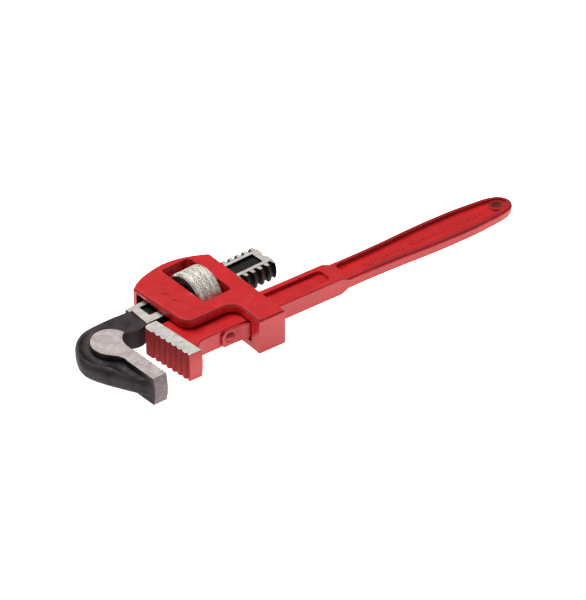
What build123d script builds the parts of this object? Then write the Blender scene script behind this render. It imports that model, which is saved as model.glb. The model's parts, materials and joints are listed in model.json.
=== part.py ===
from build123d import *
import math
import os

# Stillson pattern pipe wrench, 350 mm (14 in) size, in millimetres.
# Axes: +X along the bar towards the hang hole, +Y towards the hook jaw's shank, +Z up.
# Plan dimensions are drawn about the frame pin's axis, and the finished pieces are then moved
# so that the origin is at the middle of the underside of the whole wrench.
# Every piece lies across the mid-plane, which is the nut's radius above the underside.

# --- driving dimensions -----------------------------------------------------------------------
FRAME_HALF = 13.3        # half the frame's thickness
JAW_HALF = 10.25         # half the thickness of both jaws' ground lands
BAR_HALF = 6.3           # half the thickness of the flat bar
BAR_SIDE = 10.8          # from the bar's centre line to its sides
SLOT_HALF = 7.6          # half the height of the slots through the frame
SHANK_HALF = 6.6         # from the mid-plane to the flats of the threaded shank
SHANK_TILT = 3.2         # angle of the shank to the bar, degrees
THREAD_R = 13.5          # crest radius of the shank's thread
THREAD_DEPTH = 3.0
ROOT_R = THREAD_R - THREAD_DEPTH
PITCH = 6.0
NUT_R = 18.6             # the nut is the thickest piece, so the wrench lies on it
NUT_LENGTH = 19.2
NUT_CENTRE = (-14.6, 39.3)
MID_Z = NUT_R
PIN_R = 4.0
PIN_FROM_MIDDLE = (-49.85, -17.19)   # where the pin stands, from the middle of the whole wrench

# Running gaps and overlaps
PIN_GAP = 0.05           # round the pin in the bar
THREAD_GAP = 0.45        # between the crests and roots of nut and shank
FLANK_GAP = 0.3          # along the thread, between nut and shank
SHANK_GAP = 0.6          # round the thread in the frame's bore
SINK = 0.6               # how far a ridge of thread reaches into the piece that it grows from
THROUGH = 30             # height of a cutter that goes right through


# --- helpers ----------------------------------------------------------------------------------
def slab(outline, half_height):
    """Solid with the given plan outline, symmetrical about the mid-plane."""
    return Pos(0, 0, MID_Z) * extrude(outline, half_height, both=True)


def closed(points):
    """Face inside a closed outline of straight runs."""
    return make_face(Polyline(*points, close=True))


def both_faces(plan, inner_half, outer_half):
    """The plan outline as two layers, one near each face of the wrench."""
    layer = extrude(plan, outer_half - inner_half)
    top = Pos(0, 0, MID_Z + inner_half) * layer
    bottom = Pos(0, 0, MID_Z - outer_half) * layer
    return top + bottom


def shank_plane():
    """Plane across the shank's axis at the nut: x to the left side, y up, z to the rear."""
    tilt = math.radians(SHANK_TILT)
    return Plane(
        origin=(NUT_CENTRE[0], NUT_CENTRE[1], MID_Z),
        x_dir=(-math.sin(tilt), math.cos(tilt), 0),
        z_dir=(math.cos(tilt), math.sin(tilt), 0),
    )


def along_shank(shape, start=0.0):
    """Carries a shape drawn along its own Z onto the shank's axis."""
    return shank_plane().location * Pos(0, 0, start) * shape


def shank_plan(start, end, left, right):
    """Plan rectangle on the shank's axis, between two distances from the nut's middle."""
    length = end - start
    width = left + right
    centre = Pos(start + length / 2, (left - right) / 2)
    return Pos(*NUT_CENTRE) * Rot(0, 0, SHANK_TILT) * centre * Rectangle(length, width)


# --- handle bar -------------------------------------------------------------------------------
HEEL_INNER = Vector(-69.6, 12.0)     # inner end of the heel jaw's toothed stretch
HEEL_OUTER = Vector(-65.2, -24.0)    # outer end of it
TOOTH_COUNT = 7
HEEL_TOP = 19.4                      # inner end of the heel jaw and the neck beside it
HEEL_CROWN = 1.0                     # bulge of the heel jaw's outer end
TOOTH_DEPTH = 1.4
BAR_START = -62.0                    # where the bar ends inside the heel jaw
BAR_ROUNDING = 0.8
STEP_START = 66.8                    # where the bar thins down to the grip
STEP_END = 71.0
GRIP_START = 80.0                    # where its sides begin to curve
GRIP_HALF_START = 4.4
GRIP_HALF_END = 3.7
GRIP_END = 219.8
POCKET_START = 8.0                   # of the pockets in the bar's faces
POCKET_END = 62.0
POCKET_DEPTH = 2.4
POCKET_RIM = 4.4                     # width left beside them
POCKET_CORNER = 3.5
GRIP_POCKET_START = 75.0
GRIP_POCKET_CORNER = 3.0
GRIP_WEB_HALF = 1.65                 # half the thickness left between the grip's two pockets
GRIP_RIM = 3.7
GRIP_ROUNDING = 2.0
GRIP_FLOOR_ROUNDING = 1.0
HANG_HOLE = (208.5, 0.0)
HANG_HOLE_R = 4.0
HANG_BOSS_R = 5.8                    # a low boss thickens the web round the hole
HANG_BOSS_HALF = 2.7
GRIP_WIDTHS = [
    (95, 10.9), (120, 11.7), (140, 12.8), (160, 13.3), (180, 13.1),
    (197, 11.9), (209, 10.3), (216.5, 6.8),
]


def toothed_edge(start, end, count, depth):
    """Points along a jaw face from start to end: each tooth has a steep flank and a hooked one."""
    run = (end - start).normalized()
    inward = Vector(-run.Y, run.X)
    pitch = (end - start).length / count
    points = [start]
    for index in range(count):
        for station, depth_here in ((0.27, 0), (0.45, depth), (0.77, 0.3 * depth), (0.95, 0)):
            points.append(start + run * ((index + station) * pitch) + inward * depth_here)
    points.append(end)
    return [(point.X, point.Y) for point in points]


def crowned_tip(jaw, tip_y, crown):
    """Rounds a jaw's outer end so that it bulges a little at the mid-plane."""
    radius = (JAW_HALF ** 2 + crown ** 2) / (2 * crown)
    x = jaw.center().X
    width = 120
    barrel = Pos(x, tip_y - crown + radius, MID_Z) * Rot(0, 90, 0) * Cylinder(radius, width)
    end_zone = Pos(x, tip_y - crown, MID_Z) * Box(width, 2 * crown + 2, 2 * JAW_HALF)
    return jaw - (end_zone - barrel)


def heel_jaw():
    teeth = toothed_edge(HEEL_INNER, HEEL_OUTER, TOOTH_COUNT, TOOTH_DEPTH)
    inner_end = [(-59.8, HEEL_TOP), (-66.6, HEEL_TOP), (-69.0, 18.3), (-69.9, 16.4)]
    outer_end = [(HEEL_OUTER.X, HEEL_OUTER.Y - HEEL_CROWN), (-55.2, HEEL_OUTER.Y - HEEL_CROWN)]
    jaw = slab(closed(teeth + outer_end + inner_end), JAW_HALF)
    return crowned_tip(jaw, HEEL_OUTER.Y, HEEL_CROWN)


def grip_outline():
    """Plan outline of the bar from the neck to the rounded end of the grip."""
    left = [(GRIP_START, BAR_SIDE)] + GRIP_WIDTHS
    right = [(x, -y) for x, y in reversed(left)]
    return [
        Spline(*left, (GRIP_END, 0), *right, tangents=[(1, 0), (-1, 0)]),
        Line((GRIP_START, -BAR_SIDE), (-42, -BAR_SIDE)),
        Spline((-42, -BAR_SIDE), (-50, -13.5), (-56, -22.5), tangents=[(-1, 0), (-0.3, -1)]),
        Line((-56, -22.5), (BAR_START, -18)),
        Line((BAR_START, -18), (BAR_START, HEEL_TOP)),
        Line((BAR_START, HEEL_TOP), (-50, HEEL_TOP)),
        Spline((-50, HEEL_TOP), (-45.5, 15), (-41, BAR_SIDE), tangents=[(1, 0), (1, 0)]),
        Line((-41, BAR_SIDE), (GRIP_START, BAR_SIDE)),
    ]


def bar_profile():
    """Side profile of the bar: full thickness, a short step, then the tapering grip."""
    upper = [
        (BAR_START, BAR_HALF), (STEP_START, BAR_HALF), (STEP_END, GRIP_HALF_START),
        (205, GRIP_HALF_END), (GRIP_END + 1, GRIP_HALF_END - 0.3),
    ]
    lower = [(x, -z) for x, z in reversed(upper)]
    profile = make_face(Plane.XZ * Polyline(*upper, *lower, close=True))
    return Pos(0, 0, MID_Z) * extrude(profile, THROUGH, both=True)


def bar_pocket():
    """Cutter for the pockets in both faces of the bar, from inside the frame to the step."""
    width = 2 * (BAR_SIDE - POCKET_RIM)
    plan = fillet(Rectangle(POCKET_END - POCKET_START, width).vertices(), POCKET_CORNER)
    plan = Pos((POCKET_START + POCKET_END) / 2, 0) * plan
    return both_faces(plan, BAR_HALF - POCKET_DEPTH, FRAME_HALF)


def inset(points, distance):
    """All but the first and last point, moved square to the line through their neighbours."""
    moved = []
    for before, point, after in zip(points, points[1:], points[2:]):
        run = (Vector(*after) - Vector(*before)).normalized()
        moved.append(Vector(*point) + Vector(run.Y, -run.X) * distance)
    return moved


def grip_pocket():
    """Cutter for the grip's pockets, which leave a rim of even width round its end."""
    left = [(GRIP_POCKET_START - 10, BAR_SIDE), (GRIP_POCKET_START, BAR_SIDE)] + GRIP_WIDTHS
    right = [(x, -y) for x, y in reversed(left)]
    wall = inset(left + [(GRIP_END, 0)] + right, GRIP_RIM)
    plan = make_face([Spline(*wall), Line(wall[-1], wall[0])])
    corners = plan.vertices().sort_by(Axis.X)[:2]
    return both_faces(fillet(corners, GRIP_POCKET_CORNER), GRIP_WEB_HALF, FRAME_HALF)


def grip_rims(bar):
    """The outer edges of the grip's two faces, round its end."""
    curved = bar.edges().filter_by(GeomType.BSPLINE)
    return curved.filter_by(lambda edge: GRIP_WEB_HALF < abs(edge.center().Z - MID_Z) < BAR_HALF - 1)


def grip_floors(bar):
    """The edges round the floors of the grip's pockets."""
    beyond = bar.edges().filter_by(lambda edge: edge.center().X > GRIP_POCKET_START - 1)
    return beyond.filter_by(lambda edge: abs(abs(edge.center().Z - MID_Z) - GRIP_WEB_HALF) < 0.02)


def handle_bar():
    bar = slab(make_face(grip_outline()), BAR_HALF + 1) & bar_profile()
    long_edges = bar.edges().filter_by(lambda edge: edge.length > 60 and edge.center().X < STEP_END)
    bar = fillet(long_edges, BAR_ROUNDING)
    bar = fillet(grip_rims(bar), GRIP_ROUNDING)
    bar -= bar_pocket() + grip_pocket()
    bar = fillet(grip_floors(bar), GRIP_FLOOR_ROUNDING)
    bar += heel_jaw()
    bar += Pos(*HANG_HOLE, MID_Z) * Cylinder(HANG_BOSS_R, 2 * HANG_BOSS_HALF)
    bar -= Pos(*HANG_HOLE, MID_Z) * Cylinder(HANG_HOLE_R, THROUGH)
    bar -= Pos(0, 0, MID_Z) * Cylinder(PIN_R + PIN_GAP, THROUGH)
    for x, side in ((RIGHT_RIVET_X, -1), (LEFT_RIVET_X, 1)):
        bar -= rivet_hole(x, side)
    return bar


# --- leaf springs and their rivets ------------------------------------------------------------
RIGHT_RIVET_X = -24.5
LEFT_RIVET_X = -34.0
LEAF_HALF = 5.9                      # half the height of the leaves
RIGHT_LEAF = 1.6                     # their thicknesses
LEFT_LEAF = 1.2
LEAF_CHAMFER = 3.2                   # upper front corner of a leaf
LEAF_ROUNDING = 2.4                  # lower front corner
RIVET_R = 2.0
RIVET_DEPTH = 7.0
RIVET_HEAD_R = 3.8
RIGHT_RIVET_HEAD = 1.8               # heights of the domed heads
LEFT_RIVET_HEAD = 1.2


def rivet_hole(x, side):
    centre = side * (BAR_SIDE - RIVET_DEPTH / 2)
    return Pos(x, centre, MID_Z) * Rot(90, 0, 0) * Cylinder(RIVET_R, RIVET_DEPTH)


def leaf_spring(points, side, thickness, rivet_x):
    """Strip on one side of the bar: a flat seat, then a bow that ends back near the bar."""
    inner = [(x, side * (BAR_SIDE + lift)) for x, lift in points]
    outer = [(x, side * (BAR_SIDE + lift + thickness)) for x, lift in points]
    plan = make_face([
        Line(inner[0], inner[1]),
        Spline(*inner[1:], tangents=[(1, 0), (1, -side * 0.15)]),
        Line(inner[-1], outer[-1]),
        Spline(*reversed(outer[1:]), tangents=[(-1, side * 0.15), (-1, 0)]),
        Line(outer[1], outer[0]),
        Line(outer[0], inner[0]),
    ])
    strip = slab(plan, LEAF_HALF)
    front = strip.edges().filter_by(Axis.Y).sort_by(Axis.X)[:2]
    strip = chamfer(front.sort_by(Axis.Z)[-1], LEAF_CHAMFER)
    lower_corner = strip.edges().filter_by(Axis.Y).group_by(Axis.Z)[0].sort_by(Axis.X)[0]
    strip = fillet(lower_corner, LEAF_ROUNDING)
    hole = Pos(rivet_x, side * BAR_SIDE, MID_Z) * Rot(90, 0, 0) * Cylinder(RIVET_R, 10)
    return strip - hole


def right_leaf_spring():
    path = [(-30.6, 0), (-19.5, 0), (-12, 1.2), (-4, 2.6), (6, 1.4)]
    return leaf_spring(path, -1, RIGHT_LEAF, RIGHT_RIVET_X)


def left_leaf_spring():
    path = [(-38.5, 0), (-29, 0), (-22, 0.9), (-16, 1.2), (-9, 0.4)]
    return leaf_spring(path, 1, LEFT_LEAF, LEFT_RIVET_X)


def rivet(x, side, leaf_thickness, head_height):
    """Domed head on the leaf, and a stem through it into the bar."""
    seat = BAR_SIDE + leaf_thickness
    stem_length = RIVET_DEPTH + leaf_thickness
    stem = Pos(0, 0, -stem_length / 2) * Cylinder(RIVET_R, stem_length)
    dome_r = (RIVET_HEAD_R ** 2 + head_height ** 2) / (2 * head_height)
    dome = Pos(0, 0, head_height - dome_r) * Sphere(dome_r)
    width = 4 * RIVET_HEAD_R
    head = dome & Pos(0, 0, head_height / 2) * Box(width, width, head_height)
    return Pos(x, side * seat, MID_Z) * Rot(-90 * side, 0, 0) * (stem + head)


# --- frame ------------------------------------------------------------------------------------
BLOCK_RIGHT = -24.4                  # the block on the bar's right side
BLOCK_FRONT = -10.0
FRAME_REAR = 10.8
FRAME_ROUNDING = 1.8
BAR_SLOT_RIGHT = -16.0
BAR_SLOT_LEFT = 14.6
BAR_SLOT_REAR_LEFT = 12.4            # the slot is narrower behind the pin
MOUTH_FRONT = -62.0                  # outside the frame's front edge
MOUTH_BACK = -30.0
MOUTH_RIGHT = -30.0                  # outside its right side
MOUTH_FLARE = 3.6                    # by how much the mouth opens out on each face
WINDOW_FRONT = -26.4
WINDOW_REAR = -3.2
WINDOW_RIGHT = 15.0
WINDOW_LEFT = 61.0
WINDOW_CORNER = 3.0
WINDOW_TILT = 2.0                    # degrees
NUT_POCKET_RIGHT = 19.2              # the window's edge inside the frame, beside the nut


def frame_plan():
    """Plan outline of the frame, with the concave sweep between mouth and block."""
    return make_face([
        Spline(
            (-53.4, 54.4), (-45.4, 60.4), (-33, 65.0), (-22, 66.9), (-12, 66.4), (-3.4, 64.2),
            (9.4, 58.4),
        ),
        Line((9.4, 58.4), (10.3, 56.8)),
        Line((10.3, 56.8), (FRAME_REAR, BLOCK_RIGHT)),
        Line((FRAME_REAR, BLOCK_RIGHT), (BLOCK_FRONT, BLOCK_RIGHT)),
        Line((BLOCK_FRONT, BLOCK_RIGHT), (BLOCK_FRONT, -5)),
        ThreePointArc((BLOCK_FRONT, -5), (-12.2, 0.4), (-17.5, 2.6)),
        Line((-17.5, 2.6), (-41.5, 2.2)),
        ThreePointArc((-41.5, 2.2), (-47.2, 4.8), (-49.4, 10.5)),
        Line((-49.4, 10.5), (-53.4, 54.4)),
    ])


def window_plan(right):
    """Window for the nut, tilted nearly with the shank, with its right edge at the given y."""
    plan = Rectangle(WINDOW_REAR - WINDOW_FRONT, WINDOW_LEFT - right)
    plan = fillet(plan.vertices(), WINDOW_CORNER)
    middle = Pos((WINDOW_FRONT + WINDOW_REAR) / 2, (right + WINDOW_LEFT) / 2)
    return middle * Rot(0, 0, WINDOW_TILT) * plan


def mouth_plan():
    """Open space behind the frame's front edge, following the outer sweep inside its left wall."""
    return make_face([
        Line((MOUTH_FRONT, MOUTH_RIGHT), (MOUTH_BACK, MOUTH_RIGHT)),
        Line((MOUTH_BACK, MOUTH_RIGHT), (MOUTH_BACK, 61.4)),
        Spline((MOUTH_BACK, 61.4), (-40, 58.6), (-52.4, 51.6), (MOUTH_FRONT, 44.6)),
        Line((MOUTH_FRONT, 44.6), (MOUTH_FRONT, MOUTH_RIGHT)),
    ])


def mouth_height():
    """The mouth opens out towards the left wall, where the cheeks get thin."""
    open_half = SLOT_HALF + MOUTH_FLARE
    upper = [(-40, SLOT_HALF), (12, SLOT_HALF), (54, open_half), (70, open_half)]
    lower = [(y, -z) for y, z in reversed(upper)]
    profile = make_face(Plane.YZ * Polyline(*upper, *lower, close=True))
    return Pos(0, 0, MID_Z) * extrude(profile, 100, both=True)


def frame():
    body = slab(frame_plan(), FRAME_HALF)
    body = fillet(body.faces().filter_by(Axis.Z).edges(), FRAME_ROUNDING)
    bar_slot = closed([
        (MOUTH_FRONT, BAR_SLOT_RIGHT), (20, BAR_SLOT_RIGHT), (20, BAR_SLOT_REAR_LEFT),
        (-4, BAR_SLOT_REAR_LEFT), (-8, BAR_SLOT_LEFT), (MOUTH_FRONT, BAR_SLOT_LEFT),
    ])
    body -= slab(bar_slot, SLOT_HALF)
    body -= slab(mouth_plan(), FRAME_HALF) & mouth_height()
    bore_length = 140
    shank_bore = Cylinder(THREAD_R + SHANK_GAP, bore_length) & Box(60, 2 * SLOT_HALF, bore_length)
    body -= along_shank(shank_bore)
    body -= both_faces(window_plan(WINDOW_RIGHT), SLOT_HALF, FRAME_HALF)
    body -= slab(window_plan(NUT_POCKET_RIGHT), SLOT_HALF)
    body -= Pos(0, 0, MID_Z) * Cylinder(PIN_R, THROUGH)
    return body


def frame_pin():
    return Pos(0, 0, MID_Z) * Cylinder(PIN_R, 2 * FRAME_HALF)


# --- hook jaw ---------------------------------------------------------------------------------
HOOK_FACE_INNER = Vector(-89.9, 3.0)      # ends of the hook jaw's toothed face
HOOK_FACE_OUTER = Vector(-87.6, -31.0)
HOOK_TOOTH_COUNT = 12
HOOK_TOOTH_DEPTH = 0.7
HOOK_CROWN = 1.6         # bulge of the hook jaw's outer end
RIM_HALF = 6.9           # half the thickness of the forging outside its lands
RIM_ROUNDING = 5.2
VALLEY_R = 6.0           # radius of the hollow between the land and the rim
VALLEY_LINE = [          # its middle line: plan point, and height above the forging's side
    (-88, 37, 8.5), (-97, 36.5, 6), (-107, 31, 4), (-112.4, 19.6, 3.4), (-109.8, 7.5, 3.4),
    (-105.4, 2, 3.4), (-103.2, -5, 3.4), (-102, -14, 3.8), (-100.8, -26, 5), (-99.5, -38, 7),
]
SHANK_FRONT = -50.6      # shank stations along its axis, from the middle of the nut
THREAD_START = -31.0
SHANK_END = 59.0
RECESS_START = -42.4
RECESS_END = 52.8
RECESS_HALF_WIDTH = 5.6
RECESS_DEPTH = 2.2
RECESS_CORNER = 0.8
SHANK_END_ROUNDING = 6.5
END_NOTCH_R = 3.0        # of the notch across the middle of the shank's end
END_NOTCH_DEPTH = 1.5
PLAIN_LEFT = 9.6         # sides of the plain length in front of the thread
PLAIN_RIGHT = 12.6
CREST_WIDTH = 2.1        # width of the thread's ridge at its crest
ROOT_WIDTH = 3.4         # and at its root
THREAD_PHASE = 1.81      # a ridge crosses the shank's left side this far behind the nut's middle
THREAD_SECTOR = 76.0     # degrees of thread left on each rounded side


def helical_ridge(inner_r, outer_r, inner_width, outer_width, turns):
    """Right-hand trapezoidal ridge around the Z axis, starting at +X and rising along +Z."""
    path = Helix(PITCH, PITCH * turns, inner_r)
    section = Plane.XZ * Polyline(
        (inner_r, -inner_width / 2), (outer_r, -outer_width / 2),
        (outer_r, outer_width / 2), (inner_r, inner_width / 2), close=True,
    )
    return sweep(make_face(section), path=path, is_frenet=True)


def shank_ridges():
    """The short lengths of thread left on the two rounded sides of the flat shank."""
    turns = THREAD_SECTOR / 360
    ridge = helical_ridge(ROOT_R - SINK, THREAD_R, ROOT_WIDTH, CREST_WIDTH, turns)
    ridge = Rot(0, 0, -THREAD_SECTOR / 2) * Pos(0, 0, -PITCH * turns / 2) * ridge
    first = math.ceil((THREAD_START - THREAD_PHASE) / PITCH)
    last = math.floor((SHANK_END - THREAD_PHASE) / PITCH)
    ridges = []
    for index in range(first, last + 1):
        station = THREAD_PHASE + index * PITCH
        ridges.append(Pos(0, 0, station) * ridge)
        ridges.append(Pos(0, 0, station + PITCH / 2) * Rot(0, 0, 180) * ridge)
    return ridges


def shank():
    """Threaded shank with flats and a long recess in both of them."""
    length = SHANK_END - SHANK_FRONT
    middle = Pos(0, 0, (SHANK_FRONT + SHANK_END) / 2)
    core = Cylinder(ROOT_R, length)
    plain_length = THREAD_START - SHANK_FRONT
    sides = Pos((PLAIN_LEFT - PLAIN_RIGHT) / 2, 0) * Box(PLAIN_LEFT + PLAIN_RIGHT, 40, plain_length)
    plain = Cylinder(THREAD_R, plain_length) & sides
    plain = Pos(0, 0, (plain_length - length) / 2) * plain
    body = middle * (core + plain) + shank_ridges()
    round_end = Cylinder(THREAD_R + 3, length)
    rear_rim = round_end.edges().filter_by(GeomType.CIRCLE).sort_by(Axis.Z)[-1]
    envelope = fillet(rear_rim, SHANK_END_ROUNDING) & Box(60, 2 * SHANK_HALF, length)
    notch = Pos(0, 0, SHANK_END + END_NOTCH_R - END_NOTCH_DEPTH) * Rot(90, 0, 0)
    notch *= Cylinder(END_NOTCH_R, THROUGH)
    body = along_shank((body & middle * envelope) - notch)
    recess = shank_plan(RECESS_START, RECESS_END, RECESS_HALF_WIDTH, RECESS_HALF_WIDTH)
    recess = fillet(recess.vertices(), RECESS_CORNER)
    return body - both_faces(recess, SHANK_HALF - RECESS_DEPTH, SHANK_HALF + 1)


def hook_body_plan():
    """Plan outline of the black forging, from the shank round the back to the jaw's tip."""
    return make_face([
        Spline(
            (-63, 45.8), (-78, 46.2), (-91.5, 45.6), (-101.6, 43.8), (-110.2, 37.8),
            (-116.9, 27.2), (-120.1, 15.1), (-117.8, 5.8), (-110, -9.6), (-97.6, -31),
            tangents=[(-1, 0), (0.5, -0.87)],
        ),
        Line((-97.6, -31), (-92.4, -31)),
        Line((-92.4, -31), (-92.5, 6)),
        Spline((-92.5, 6), (-90.6, 15), (-85.6, 20.8), (-79, 24.0), tangents=[(0, 1), (1, 0.2)]),
        Spline((-79, 24.0), (-73.5, 21.9), (-68.5, 22.0), (-63.5, 25.2)),
        Line((-63.5, 25.2), (-63, 45.8)),
    ])


def land_plan():
    """Plan outline of the ground land: round boss, toothed face and the tip."""
    teeth = toothed_edge(HOOK_FACE_OUTER, HOOK_FACE_INNER, HOOK_TOOTH_COUNT, -HOOK_TOOTH_DEPTH)
    tip = HOOK_FACE_OUTER.Y - HOOK_CROWN
    return make_face([
        Polyline(*teeth),
        Spline(teeth[-1], (-89.7, 12.8), (-88.0, 16.8), (-85.6, 19.7), (-83.4, 21.6)),
        Spline(
            (-83.4, 21.6), (-86.3, 27.5), (-94.5, 32.0), (-104.0, 28.8), (-109.2, 19.6),
            (-107.0, 9.2), (-103.2, 4.7), (-100.6, 1.2), (-99.4, -5.5),
        ),
        Line((-99.4, -5.5), (-97.6, tip)),
        Line((-97.6, tip), (teeth[0][0], tip)),
        Line((teeth[0][0], tip), teeth[0]),
    ])


def valley():
    """Cutter for the hollow that runs round the land on the forging's upper side."""
    path = Spline(*[(x, y, MID_Z + RIM_HALF + lift) for x, y, lift in VALLEY_LINE])
    return sweep(Plane(origin=path @ 0, z_dir=path % 0) * Circle(VALLEY_R), path=path)


def hook_jaw():
    body = slab(hook_body_plan(), RIM_HALF)
    outer = body.edges().filter_by(GeomType.BSPLINE).filter_by(lambda edge: edge.length > 100)
    body = fillet(outer, RIM_ROUNDING)
    body -= valley()
    body -= mirror(valley(), Plane.XY.offset(MID_Z))
    land = crowned_tip(slab(land_plan(), JAW_HALF), HOOK_FACE_OUTER.Y, HOOK_CROWN)
    return body + land + shank()


# --- adjusting nut ----------------------------------------------------------------------------
NUT_CHAMFER = (1.3, 2.0)


def adjusting_nut():
    """Ring nut with chamfered rims and a thread that fills the shank's grooves."""
    thread_root = THREAD_R + THREAD_GAP
    thread_crest = ROOT_R + THREAD_GAP
    ring = Cylinder(NUT_R, NUT_LENGTH)
    ring = chamfer(ring.edges().filter_by(GeomType.CIRCLE), *NUT_CHAMFER)
    ring -= Cylinder(thread_root, NUT_LENGTH + 2)
    groove_at_root = PITCH - ROOT_WIDTH
    groove_at_crest = PITCH - CREST_WIDTH
    turns = NUT_LENGTH / PITCH + 2
    ridge = helical_ridge(thread_crest, thread_root + SINK, groove_at_root - FLANK_GAP / 3,
                          groove_at_crest - FLANK_GAP, turns)
    lowest = THREAD_PHASE + PITCH / 2 - PITCH * math.ceil(turns / 2 + 1)
    clip = Cylinder(NUT_R - NUT_CHAMFER[0], NUT_LENGTH - 1.0)
    return along_shank(ring + (Pos(0, 0, lowest) * ridge & clip))


# --- export -----------------------------------------------------------------------------------
def build_all():
    return {
        "handle_bar": handle_bar(),
        "frame": frame(),
        "frame_pin": frame_pin(),
        "hook_jaw": hook_jaw(),
        "adjusting_nut": adjusting_nut(),
        "right_leaf_spring": right_leaf_spring(),
        "right_spring_rivet": rivet(RIGHT_RIVET_X, -1, RIGHT_LEAF, RIGHT_RIVET_HEAD),
        "left_leaf_spring": left_leaf_spring(),
        "left_spring_rivet": rivet(LEFT_RIVET_X, 1, LEFT_LEAF, LEFT_RIVET_HEAD),
    }


os.makedirs("parts", exist_ok=True)
for name, piece in build_all().items():
    piece = Pos(*PIN_FROM_MIDDLE) * piece
    export_step(piece, f"parts/{name}.step")
    print(name, "volume", round(piece.volume), "solids", len(piece.solids()))
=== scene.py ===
import json
import math

import bmesh
import bpy
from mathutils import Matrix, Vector


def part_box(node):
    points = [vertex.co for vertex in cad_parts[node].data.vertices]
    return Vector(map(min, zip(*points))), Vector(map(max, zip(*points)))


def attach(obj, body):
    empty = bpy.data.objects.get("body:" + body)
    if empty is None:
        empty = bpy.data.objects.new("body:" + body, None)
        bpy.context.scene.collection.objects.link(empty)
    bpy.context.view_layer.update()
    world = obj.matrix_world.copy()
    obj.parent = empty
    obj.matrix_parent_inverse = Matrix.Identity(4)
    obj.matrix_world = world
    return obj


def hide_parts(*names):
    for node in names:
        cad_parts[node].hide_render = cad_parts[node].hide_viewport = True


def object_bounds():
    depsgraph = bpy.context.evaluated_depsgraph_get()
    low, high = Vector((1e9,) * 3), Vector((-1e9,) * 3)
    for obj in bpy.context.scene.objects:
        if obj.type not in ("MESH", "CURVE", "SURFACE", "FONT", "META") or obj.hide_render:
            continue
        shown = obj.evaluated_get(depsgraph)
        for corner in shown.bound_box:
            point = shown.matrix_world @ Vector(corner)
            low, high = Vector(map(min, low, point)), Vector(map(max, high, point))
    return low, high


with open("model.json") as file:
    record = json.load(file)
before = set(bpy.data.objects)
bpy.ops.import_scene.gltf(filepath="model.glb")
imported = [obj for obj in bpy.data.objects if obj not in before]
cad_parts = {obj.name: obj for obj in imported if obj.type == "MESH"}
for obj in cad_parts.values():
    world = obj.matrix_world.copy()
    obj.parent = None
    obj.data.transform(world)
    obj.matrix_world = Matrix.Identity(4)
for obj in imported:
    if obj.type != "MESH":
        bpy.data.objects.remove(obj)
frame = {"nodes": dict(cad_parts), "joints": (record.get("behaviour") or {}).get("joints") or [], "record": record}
CAD_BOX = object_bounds()

MM = 0.001

# --- places on the wrench ---------------------------------------------------------------------
PIN = Vector(next(j["pos_m"] for j in frame["joints"] if j["name"] == "frame_rock"))
MID_Z = PIN.z                       # the wrench is the same above and below this height
PIN_RING = 5.2 * MM                 # rims round the pin's end lie inside this radius

HANG_HOLE = next(m for m in frame["record"]["mounts"] if m["name"] == "hang_hole")
HANG_AXIS = Vector(HANG_HOLE["pos_m"])
HANG_R = HANG_HOLE["dims"]["r_mm"] * MM

HEEL_LAND = 10.22 * MM              # just under the heel jaw's side faces, from the mid-plane
HEEL_TEETH = PIN.x - 60.4 * MM      # the heel jaw's teeth are further than this towards -X
GRIP_START = PIN.x + 72 * MM        # the painted shade on the grip's rims grows from here
GRIP_DARK = PIN.x + 100 * MM        # to here
GRIP_RIM = 2.4 * MM                 # height between the grip's pocket floors and its rims
GRIP_FLOOR = 1.65 * MM              # the grip's pocket floors, from the mid-plane
BAR_FLOOR = 3.9 * MM                # the bar's pocket floors, from there too
CHEEK_FACE = 13.3 * MM              # the frame's outer faces, from there too

HOOK_LAND = 10.18 * MM              # just under the hook jaw's raised lands
HOOK_END = 47.5 * MM                # the hook jaw's outer end is further than this towards -Y

NUT_SPIN = next(j for j in frame["joints"] if j["name"] == "nut_spin")
SHANK_AXIS = Vector(NUT_SPIN["axis"])
NUT_MIDDLE = Vector(NUT_SPIN["pos_m"])
SHANK_START = -50.4 * MM            # just behind the shank's front, from the nut's middle
THREAD_START = -30.8 * MM           # just behind the start of its thread
SHANK_FLAT = 6.6 * MM               # the shank's flats, from the mid-plane
THREAD_CREST = 13.3 * MM            # just inside the crests of its thread, from its axis

NUT_R = (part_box("adjusting_nut")[1].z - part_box("adjusting_nut")[0].z) / 2
NUT_LENGTH = 19.2 * MM
NUT_BORE_R = 13.95 * MM


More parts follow.
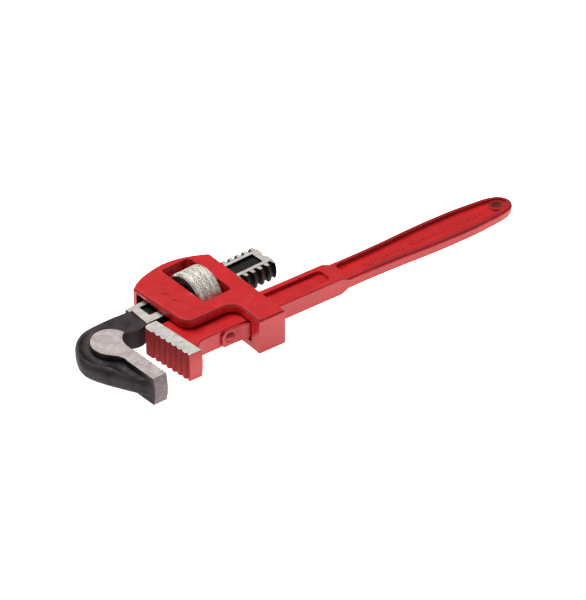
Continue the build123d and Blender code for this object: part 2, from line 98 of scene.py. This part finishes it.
# --- node helpers -----------------------------------------------------------------------------
class Nodes:
    """A material's node tree with short calls for the nodes used here."""

    def __init__(self, name):
        self.material = bpy.data.materials.new(name)
        self.material.use_nodes = True
        self.tree = self.material.node_tree
        self.shader = self.tree.nodes["Principled BSDF"]
        coordinates = self.tree.nodes.new("ShaderNodeTexCoord")
        self.place = coordinates.outputs["Object"]
        self.face = coordinates.outputs["Normal"]

    def plug(self, value, socket):
        """Links an output to the socket, or sets a plain number or colour on it."""
        if isinstance(value, bpy.types.NodeSocket):
            self.tree.links.new(value, socket)
        else:
            socket.default_value = value

    def math(self, operation, a, b=0.0):
        """Result of one operation on a, or on a and b."""
        node = self.tree.nodes.new("ShaderNodeMath")
        node.operation = operation
        for value, socket in zip((a, b), node.inputs):
            self.plug(value, socket)
        return node.outputs[0]

    def ramp(self, value, low, high, out_low=0.0, out_high=1.0):
        """Smooth change from out_low to out_high while value goes from low to high."""
        node = self.tree.nodes.new("ShaderNodeMapRange")
        node.interpolation_type = "SMOOTHSTEP"
        for number, socket in zip((value, low, high, out_low, out_high), node.inputs):
            self.plug(number, socket)
        return node.outputs[0]

    def mix(self, factor, a, b):
        """Colour between a and b."""
        node = self.tree.nodes.new("ShaderNodeMix")
        node.data_type = "RGBA"
        for value, socket in ((factor, node.inputs[0]), (a, node.inputs[6]), (b, node.inputs[7])):
            self.plug(value, socket)
        return node.outputs[2]

    def mix_value(self, factor, a, b):
        """Number between a and b."""
        node = self.tree.nodes.new("ShaderNodeMapRange")
        for number, socket in zip((factor, 0.0, 1.0, a, b), node.inputs):
            self.plug(number, socket)
        return node.outputs[0]

    def noise(self, size, detail=2.0, rough=0.5, stretch=None):
        """Noise whose features are about size metres across."""
        node = self.tree.nodes.new("ShaderNodeTexNoise")
        node.inputs["Scale"].default_value = 1 / size
        node.inputs["Detail"].default_value = detail
        node.inputs["Roughness"].default_value = rough
        place = self.place
        if stretch is not None:
            mapping = self.tree.nodes.new("ShaderNodeMapping")
            mapping.inputs["Scale"].default_value = stretch
            self.plug(self.place, mapping.inputs["Vector"])
            place = mapping.outputs[0]
        self.plug(place, node.inputs["Vector"])
        return node.outputs[0]

    def part(self, vector, axis):
        """One of a vector's three numbers."""
        node = self.tree.nodes.new("ShaderNodeSeparateXYZ")
        self.plug(vector, node.inputs[0])
        return node.outputs["XYZ".index(axis)]

    def bump(self, height, depth, strength, under=None):
        """Normal of a surface that rises by height times depth metres."""
        node = self.tree.nodes.new("ShaderNodeBump")
        self.plug(strength, node.inputs["Strength"])
        node.inputs["Distance"].default_value = depth
        self.plug(height, node.inputs["Height"])
        if under is not None:
            self.plug(under, node.inputs["Normal"])
        return node.outputs[0]

    def soft_edges(self, radius):
        """Normal that turns smoothly over every edge."""
        node = self.tree.nodes.new("ShaderNodeBevel")
        node.samples = 6
        node.inputs["Radius"].default_value = radius
        return node.outputs[0]

    def finish(self, **sockets):
        """Fills the shader's sockets, named with _ for a space."""
        for name, value in sockets.items():
            self.plug(value, self.shader.inputs[name.replace("_", " ")])
        return self.material


def rgb(r, g, b):
    """Linear colour from the usual 0 to 255 display values."""
    def linear(v):
        v /= 255
        return v / 12.92 if v <= 0.04045 else ((v + 0.055) / 1.055) ** 2.4
    return (linear(r), linear(g), linear(b), 1)


# --- materials --------------------------------------------------------------------------------
RED_DEEP = (0.40, 0.004, 0.006, 1)
RED_BRIGHT = (0.48, 0.006, 0.008, 1)
RED_EDGE_SHADE = (0.10, 0.002, 0.003, 1)      # painted shade along the rims of level faces
RED_GRIP_RIM_SHADE = (0.12, 0.002, 0.002, 1)     # painted shade on the grip's rims
RED_TEETH_SHADE = (0.20, 0.003, 0.004, 1)     # painted shade between the heel's teeth
RED_HOLE_SHADE = (0.20, 0.012, 0.008, 1)      # painted shade inside the hang hole
EDGE_REACH = 0.9 * MM                   # how far from an edge the painted shade reaches
EDGE_SHADE_MOST = 0.75                        # how strong that painted shade is at most


def beyond(n, value, edge, soft=0.0001):
    """1 where value is more than edge, and 0 where it is less."""
    return n.ramp(value, edge - soft, edge + soft)


def both(n, a, b):
    """Product of two masks or numbers."""
    return n.math("MULTIPLY", a, b)


def above_middle(n):
    """Distance from the wrench's mid-plane, up or down."""
    return n.math("ABSOLUTE", n.math("SUBTRACT", n.part(n.place, "Z"), MID_Z))


def along_shank(n):
    """Distance along the shank's axis, from the middle of the nut to the rear."""
    node = n.tree.nodes.new("ShaderNodeVectorMath")
    node.operation = "DOT_PRODUCT"
    n.plug(n.place, node.inputs[0])
    node.inputs[1].default_value = SHANK_AXIS
    return n.math("SUBTRACT", node.outputs["Value"], NUT_MIDDLE.dot(SHANK_AXIS))


def from_shank_axis(n, station):
    """Distance out from the shank's axis."""
    node = n.tree.nodes.new("ShaderNodeVectorMath")
    node.operation = "DISTANCE"
    n.plug(n.place, node.inputs[0])
    node.inputs[1].default_value = NUT_MIDDLE
    square = both(n, node.outputs["Value"], node.outputs["Value"])
    return n.math("SQRT", n.math("SUBTRACT", square, both(n, station, station)))


def faces_up_or_down(n):
    """1 on level faces and 0 on upright ones."""
    return n.ramp(n.math("ABSOLUTE", n.part(n.face, "Z")), 0.45, 0.75)


def ground_steel(n, light, dark):
    """Colour of a ground face: fine scratches one way, and a few cloudy patches."""
    scratches = n.noise(0.7 * MM, 3.0, 0.6, stretch=(0.12, 1, 1))
    clouds = n.noise(6 * MM, 2.0, 0.6)
    grain = n.math("ADD", both(n, scratches, 0.6), both(n, clouds, 0.4))
    return n.mix(n.ramp(grain, 0.38, 0.62), dark, light)


def sloping_edge(n):
    """1 where the rounded surface leans at 45 degrees, as along the rims of a flat face."""
    rise = n.part(n.soft_edges(EDGE_REACH), "Z")
    square = both(n, rise, rise)
    return both(n, both(n, square, n.math("SUBTRACT", 1.0, square)), 4.0)


def from_upright_axis(n, centre):
    """Distance out from the upright line through centre."""
    across = n.math("SUBTRACT", n.part(n.place, "X"), centre.x)
    along = n.math("SUBTRACT", n.part(n.place, "Y"), centre.y)
    return n.math("SQRT", n.math("ADD", both(n, across, across), both(n, along, along)))


def clear_of_pin(n):
    """0 over the flush, painted pin and 1 elsewhere, so that no ring shows round it."""
    return n.ramp(from_upright_axis(n, PIN), PIN_RING, PIN_RING + 1 * MM)


def paint_layers(n, edge_shade):
    """Colour, roughness and normal of semi-gloss red, with patchy painted shade along the rims of level faces,
    where it is also dull.
    """
    cast = n.noise(1.8 * MM)
    swell = n.noise(7 * MM)
    broad = n.noise(22 * MM)
    colour = n.mix(n.ramp(broad, 0.3, 0.7), RED_DEEP, RED_BRIGHT)
    patchy = n.ramp(swell, 0.3, 0.6, 0.6 * edge_shade, edge_shade)
    slope = both(n, sloping_edge(n), clear_of_pin(n))
    edge = both(n, n.ramp(slope, 0.35, 0.95), patchy)
    # painted shade along the rims of level faces, patchy along their length
    colour = n.mix(edge, colour, RED_EDGE_SHADE)
    rough = n.mix_value(n.ramp(slope, 0.02, 0.2), n.ramp(swell, 0.3, 0.7, 0.26, 0.32), 0.9)
    swollen = n.bump(swell, 0.09 * MM, 0.4, n.soft_edges(0.4 * MM))
    return colour, rough, n.bump(cast, 0.012 * MM, 0.4, swollen)


def red_paint(name, edge_shade):
    """Red all over."""
    n = Nodes(name)
    colour, rough, normal = paint_layers(n, edge_shade)
    return n.finish(Base_Color=colour, Roughness=rough, Normal=normal)


def grip_rim_shade(n, height):
    """How much painted shade lies on the grip's rims: none at the grip's start, and most on the side of +Y."""
    along = n.ramp(n.part(n.place, "X"), GRIP_START, GRIP_DARK)
    raised = beyond(n, height, GRIP_RIM, 0.2 * MM)
    side = n.ramp(n.part(n.place, "Y"), PIN.y - 4 * MM, PIN.y + 4 * MM, 0.35, 0.65)
    return both(n, both(n, both(n, along, raised), faces_up_or_down(n)), side)


def heel_teeth(n):
    """1 on the heel jaw's toothed face, which looks towards -X."""
    facing = n.ramp(n.part(n.face, "X"), -0.5, -0.3, 1.0, 0.0)
    ahead = n.ramp(n.part(n.place, "X"), HEEL_TEETH - 0.2 * MM, HEEL_TEETH, 1.0, 0.0)
    return both(n, facing, ahead)


def red_paint_with_ground_heel():
    """Red all over but for the heel jaw's two side faces, which are ground bare."""
    n = Nodes("red_paint_ground_heel")
    colour, rough, normal = paint_layers(n, EDGE_SHADE_MOST)
    height = above_middle(n)
    # painted shade on the grip's rims, most on the side of +Y
    colour = n.mix(grip_rim_shade(n, height), colour, RED_GRIP_RIM_SHADE)
    teeth = heel_teeth(n)
    # painted shade on the heel's toothed face, which looks towards -X
    colour = n.mix(both(n, teeth, 0.55), colour, RED_TEETH_SHADE)
    rough = n.mix_value(teeth, rough, 0.85)
    bore = n.ramp(from_upright_axis(n, HANG_AXIS), HANG_R, HANG_R + 0.4 * MM, 1.0, 0.0)
    # painted shade inside the hang hole
    colour = n.mix(bore, colour, RED_HOLE_SHADE)
    rough = n.mix_value(bore, rough, 0.8)
    land = beyond(n, height, HEEL_LAND, 0.02 * MM)
    steel = ground_steel(n, rgb(190, 187, 182), rgb(160, 155, 150))
    return n.finish(Base_Color=n.mix(land, colour, steel), Roughness=n.mix_value(land, rough, 0.45),
                    Metallic=both(n, land, 0.3), Normal=normal)


def shank_flats(n, height, shank):
    """1 on the threaded shank's two ground flats."""
    above = beyond(n, height, SHANK_FLAT - 0.1 * MM, 0.04 * MM)
    below = n.ramp(height, SHANK_FLAT, SHANK_FLAT + 0.2 * MM, 1.0, 0.0)
    return both(n, shank, both(n, above, below))


def thread_crests(n, station):
    """A faint rub and painted highlight along the crests of the shank's thread."""
    behind = beyond(n, station, THREAD_START)
    outside = beyond(n, from_shank_axis(n, station), THREAD_CREST, 0.08 * MM)
    return both(n, both(n, behind, outside), 0.06)


def hook_end(n):
    """1 on the hook jaw's ground outer end, which looks towards -Y."""
    facing = beyond(n, both(n, n.part(n.face, "Y"), -1), 0.8, 0.05)
    outside = beyond(n, both(n, n.part(n.place, "Y"), -1), HOOK_END)
    return both(n, facing, outside)


def forged_black():
    """Blackened forging, ground bright on the lands, the jaw's end and the shank's flats."""
    n = Nodes("forged_black")
    scale = n.noise(2.2 * MM, 4.0, 0.65)
    broad = n.noise(16 * MM, 3.0, 0.6)
    height = above_middle(n)
    station = along_shank(n)
    shank = beyond(n, station, SHANK_START)
    black = n.mix(n.ramp(broad, 0.38, 0.62), rgb(17, 13, 13), rgb(47, 38, 40))
    black = n.mix(shank, black, rgb(11, 9, 8))
    land = beyond(n, height, HOOK_LAND, 0.02 * MM)
    flats = shank_flats(n, height, shank)
    end = hook_end(n)
    # the thread's crests get a faint rub and painted highlight of ground steel
    bare = n.math("MAXIMUM", n.math("MAXIMUM", land, thread_crests(n, station)),
                  n.math("MAXIMUM", flats, end))
    steel = ground_steel(n, rgb(176, 166, 164), rgb(148, 137, 134))
    # the jaw's ground end is darker than the lands: painted shade on a face that looks towards -Y
    steel = n.mix(end, steel, ground_steel(n, rgb(128, 114, 114), rgb(104, 92, 92)))
    steel = n.mix(flats, steel, ground_steel(n, rgb(190, 183, 179), rgb(162, 154, 150)))
    rough = n.mix_value(bare, n.ramp(scale, 0.3, 0.7, 0.5, 0.68), 0.45)
    normal = n.bump(scale, 0.14 * MM, n.mix_value(bare, 0.6, 0.1), n.soft_edges(0.5 * MM))
    return n.finish(Base_Color=n.mix(bare, black, steel), Roughness=rough, Normal=normal,
                    Metallic=both(n, bare, 0.3), Specular_IOR_Level=0.2)


def nut_steel():
    """Grainy bright zinc, polished on the chamfers, with dark dull end faces and painted shade in the bore."""
    n = Nodes("nut_steel")
    grain = n.noise(0.7 * MM, 3.0, 0.7)
    tint = n.noise(6 * MM)
    light = n.mix(n.ramp(tint, 0.35, 0.65), rgb(236, 229, 219), rgb(228, 229, 219))
    colour = n.mix(n.ramp(grain, 0.34, 0.64), rgb(132, 126, 117), light)
    station = along_shank(n)
    radius = from_shank_axis(n, station)
    chamfer = n.ramp(radius, NUT_R - 0.3 * MM, NUT_R - 0.5 * MM, 0.0, 1.0)
    colour = n.mix(chamfer, colour, rgb(240, 236, 230))
    end = beyond(n, n.math("ABSOLUTE", station), NUT_LENGTH / 2 - 0.02 * MM, 0.01 * MM)
    dull = n.math("MAXIMUM", end, n.ramp(radius, NUT_BORE_R, NUT_BORE_R + 0.2 * MM, 1.0, 0.0))
    # dark end faces, and painted shade in the bore
    colour = n.mix(dull, colour, rgb(58, 50, 46))
    return n.finish(Base_Color=colour, Metallic=n.mix_value(dull, 0.95, 0.1),
                    Roughness=n.mix_value(chamfer, 0.45, 0.25), Normal=n.bump(grain, 0.06 * MM, 0.5))


def paint(material, *names):
    """Gives CAD nodes a material."""
    for name in names:
        data = frame["nodes"][name].data
        data.materials.clear()
        data.materials.append(material)


RELIEF_RED = red_paint("red_paint_relief", 0.6 * EDGE_SHADE_MOST)
paint(red_paint("red_paint", EDGE_SHADE_MOST), "frame", "frame_pin", "right_leaf_spring",
      "right_spring_rivet", "left_leaf_spring", "left_spring_rivet")
paint(red_paint_with_ground_heel(), "handle_bar")
paint(forged_black(), "hook_jaw")


# --- added pieces -----------------------------------------------------------------------------
def new_piece(name, points, faces, material, body):
    """A mesh piece that rides on a body, with the given material."""
    mesh = bpy.data.meshes.new(name)
    mesh.from_pydata(points, [], faces)
    mesh.validate()
    mesh.materials.append(material)
    piece = bpy.data.objects.new(name, mesh)
    bpy.context.scene.collection.objects.link(piece)
    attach(piece, body)
    return piece


PITCH = 6.0 * MM                    # of the shank's thread
THREAD_PHASE = 1.81 * MM            # where the shank's thread crosses its left side
THREAD_DEPTH = 3.0 * MM
RIDGE_TOP = 1.25 * MM               # half the width of the nut's own ridge at its crest
RIDGE_SLOPE = 0.55 * MM             # width of each of its flanks
KNURL_DEPTH = 0.22 * MM
KNURL_PITCH = 1.2 * MM
KNURL_TOP = 0.55                    # the knurling's grooves begin where their wave passes this
KNURL_STEEPNESS = 1.6               # over 1, so that the grooves have narrow flat floors
NUT_EDGE = 1.3 * MM                 # chamfer of the nut's rims, out from the axis
NUT_EDGE_LENGTH = 1.1 * MM          # and along it
NUT_STEPS = 480                     # points round each ring of the nut
BORE_ROWS = 48                      # rings along its bore
KNURL_ROWS = 60                     # and along its rim


def nut_thread_radius(angle, station):
    """Radius of the nut's bore, with its thread's ridge filling the shank's groove."""
    centre = THREAD_PHASE + PITCH / 2 + PITCH * angle / math.tau
    offset = abs((station - centre + PITCH / 2) % PITCH - PITCH / 2)
    slope = min(max((offset - RIDGE_TOP) / RIDGE_SLOPE, 0), 1)
    return NUT_BORE_R - THREAD_DEPTH * (1 - slope)


def knurl_radius(angle, station):
    """Radius of the diamond knurling on the nut's rim."""
    count = round(math.tau * NUT_R / KNURL_PITCH)
    turn = angle * count / math.tau
    rise = station / KNURL_PITCH
    wave = max(abs(math.cos(math.pi * (turn + rise))), abs(math.cos(math.pi * (turn - rise))))
    groove = max(0, wave - KNURL_TOP) / (1 - KNURL_TOP)
    return NUT_R - KNURL_DEPTH * min(1, KNURL_STEEPNESS * groove)


def even(radius):
    """Radius function of a plain round ring."""
    return lambda angle, station: radius


def nut_rows():
    """Rings of the nut's surface in order: station along the axis, and radius as a function."""
    half = NUT_LENGTH / 2
    face = even(NUT_R - NUT_EDGE)
    shoulder = even(NUT_R - KNURL_DEPTH)
    knurl_end = half - NUT_EDGE_LENGTH
    rows = []
    for index in range(BORE_ROWS + 1):
        rows.append((-half + NUT_LENGTH * index / BORE_ROWS, nut_thread_radius))
    rows += [(half, face), (knurl_end, shoulder)]
    for index in range(1, KNURL_ROWS):
        rows.append((knurl_end - 2 * knurl_end * index / KNURL_ROWS, knurl_radius))
    rows += [(-knurl_end, shoulder), (-half, face)]
    return rows


def knurled_nut():
    """Ring nut with knurling outside and its thread inside."""
    rows = nut_rows()
    up = Vector((0, 0, 1))
    left = up.cross(SHANK_AXIS)
    points = []
    for station, radius in rows:
        for step in range(NUT_STEPS):
            angle = math.tau * step / NUT_STEPS
            side = left * math.cos(angle) + up * math.sin(angle)
            points.append(NUT_MIDDLE + SHANK_AXIS * station + side * radius(angle, station))
    faces = []
    for row in range(len(rows)):
        here = row * NUT_STEPS
        after = (row + 1) % len(rows) * NUT_STEPS
        for step in range(NUT_STEPS):
            ahead = (step + 1) % NUT_STEPS
            faces.append((here + step, here + ahead, after + ahead, after + step))
    piece = new_piece("knurled_nut", points, faces, nut_steel(), "nut")
    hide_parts("adjusting_nut")


MARK_ROOT = 0.1 * MM                # how far a mark reaches into the face that it stands on


def raised_mark(outline, height, base_z, up):
    """Points and faces of a low mark with sloping sides on a flat face."""
    count = len(outline)
    middle = sum(outline, Vector((0, 0))) / count
    points = []
    for shrink, rise in ((1.0, -MARK_ROOT), (0.97, 0.2 * height), (0.6, height)):
        for corner in outline:
            flat = middle + (corner - middle) * shrink
            points.append((flat.x, flat.y, base_z + up * rise))
    faces = [tuple(range(2 * count, 3 * count))]
    for ring in (0, count):
        for index in range(count):
            ahead = (index + 1) % count
            faces.append((ring + index, ring + ahead, ring + count + ahead, ring + count + index))
    return points, faces


def add_marks(name, outlines, height, half_thickness, body):
    """The same low marks on both faces of the wrench."""
    points = []
    faces = []
    for up in (1, -1):
        for outline in outlines:
            mark_points, mark_faces = raised_mark(outline, height, MID_Z + up * half_thickness, up)
            start = len(points)
            points += mark_points
            faces += [tuple(start + index for index in face) for face in mark_faces]
    new_piece(name, points, faces, RELIEF_RED, body)


def slanted_bar(x, y, length, width, lean):
    """Plan outline of one slanted bar."""
    along = Vector((lean, 1)).normalized() * length / 2
    across = Vector((along.y, -along.x)).normalized() * width / 2
    middle = Vector((x, y))
    corners = ((1, 1), (-1, 1), (-1, -1), (1, -1))
    return [middle + end * along + side * across for end, side in corners]


def grip_marks():
    """Groups of slanted ribs along the grip's pocket floors, every third one short."""
    rib_pitch = 3.2 * MM
    rib_width = 1.5 * MM
    outlines = []
    for group_start, count in ((94, 11), (134, 10), (174, 7)):
        for index in range(count):
            x = PIN.x + group_start * MM + rib_pitch * index
            length = (6.4 if index % 3 else 4.2) * MM
            outlines.append(slanted_bar(x, PIN.y, length, rib_width, 0.35))
    add_marks("grip_marks", outlines, 0.65 * MM, GRIP_FLOOR, "bar")


def chevron(x, y, size):
    """Plan outlines of the two bars of a chevron, with its middle at x and y from the pin."""
    return [slanted_bar(PIN.x + x, PIN.y + y + side * 0.36 * size, size, 0.26 * size, 0.7 * side)
            for side in (1, -1)]


def bar_marks():
    """A chevron at the end of the bar's pocket."""
    add_marks("bar_marks", chevron(57 * MM, -1.5 * MM, 4.0 * MM), 0.5 * MM, BAR_FLOOR, "bar")


def cheek_marks():
    """Two chevrons beside the window."""
    outlines = []
    for y in (30 * MM, 39 * MM):
        outlines += chevron(-39.5 * MM, y, 5.8 * MM)
    add_marks("cheek_marks", outlines, 0.5 * MM, CHEEK_FACE, "frame")


knurled_nut()
grip_marks()
bar_marks()
cheek_marks()


# --- camera, floor and light ------------------------------------------------------------------
LOOK_AT = PIN + Vector((32.96, -3.36, 0)) * MM      # the camera and the lights point here
VIEW_TURN = math.radians(37.1)      # how far the camera stands round from straight in front
VIEW_HEIGHT = math.radians(35.0)
VIEW_DISTANCE = 2.2
LENS = 202.4                        # focal length in millimetres
LIGHT_DISTANCE = 1.6
FLOOR_HALF = 6                      # half the floor's side
WHITE = (1, 1, 1, 1)


def direction(turn, height):
    """Unit vector from the object out to a place in front, turned towards -X and raised."""
    flat = math.cos(height)
    return Vector((-math.sin(turn) * flat, -math.cos(turn) * flat, math.sin(height)))


def add_camera():
    """Camera at the viewing angle, looking at the wrench."""
    data = bpy.data.cameras.new("camera")
    data.lens = LENS
    data.clip_end = 20
    camera = bpy.data.objects.new("camera", data)
    camera.location = LOOK_AT + VIEW_DISTANCE * direction(VIEW_TURN, VIEW_HEIGHT)
    camera.rotation_euler = (math.pi / 2 - VIEW_HEIGHT, 0, -VIEW_TURN)
    bpy.context.scene.collection.objects.link(camera)
    bpy.context.scene.camera = camera


def add_light(name, turn, height, size, power):
    """Soft light, turned round from the front and raised by angles in degrees."""
    data = bpy.data.lights.new(name, "AREA")
    data.shape = "RECTANGLE"
    data.size, data.size_y = size
    data.energy = power
    light = bpy.data.objects.new(name, data)
    away = direction(math.radians(turn), math.radians(height))
    light.location = LOOK_AT + LIGHT_DISTANCE * away
    light.rotation_euler = away.to_track_quat("Z", "Y").to_euler()
    bpy.context.scene.collection.objects.link(light)


def add_floor():
    """Pale floor that glows like a light table, so that shadows don't show on it."""
    mesh = bpy.data.meshes.new("floor")
    form = bmesh.new()
    bmesh.ops.create_grid(form, x_segments=1, y_segments=1, size=FLOOR_HALF)
    form.to_mesh(mesh)
    form.free()
    floor = bpy.data.objects.new("floor", mesh)
    floor.location.z = CAD_BOX[0][2]
    material = bpy.data.materials.new("floor")
    material.use_nodes = True
    shader = material.node_tree.nodes["Principled BSDF"]
    shader.inputs["Base Color"].default_value = (0.9, 0.9, 0.9, 1)
    shader.inputs["Roughness"].default_value = 0.7
    shader.inputs["Emission Color"].default_value = WHITE
    shader.inputs["Emission Strength"].default_value = 1.0
    mesh.materials.append(material)
    bpy.context.scene.collection.objects.link(floor)


def add_world():
    """Dim white surroundings."""
    world = bpy.data.worlds.new("studio")
    world.use_nodes = True
    background = world.node_tree.nodes["Background"]
    background.inputs["Color"].default_value = WHITE
    background.inputs["Strength"].default_value = 0.25
    bpy.context.scene.world = world


add_camera()
add_floor()
add_world()
add_light("key", turn=165, height=62, size=(1.0, 1.0), power=37)
add_light("front", turn=10, height=20, size=(1.2, 0.6), power=3)
bpy.context.scene.view_settings.view_transform = "Standard"
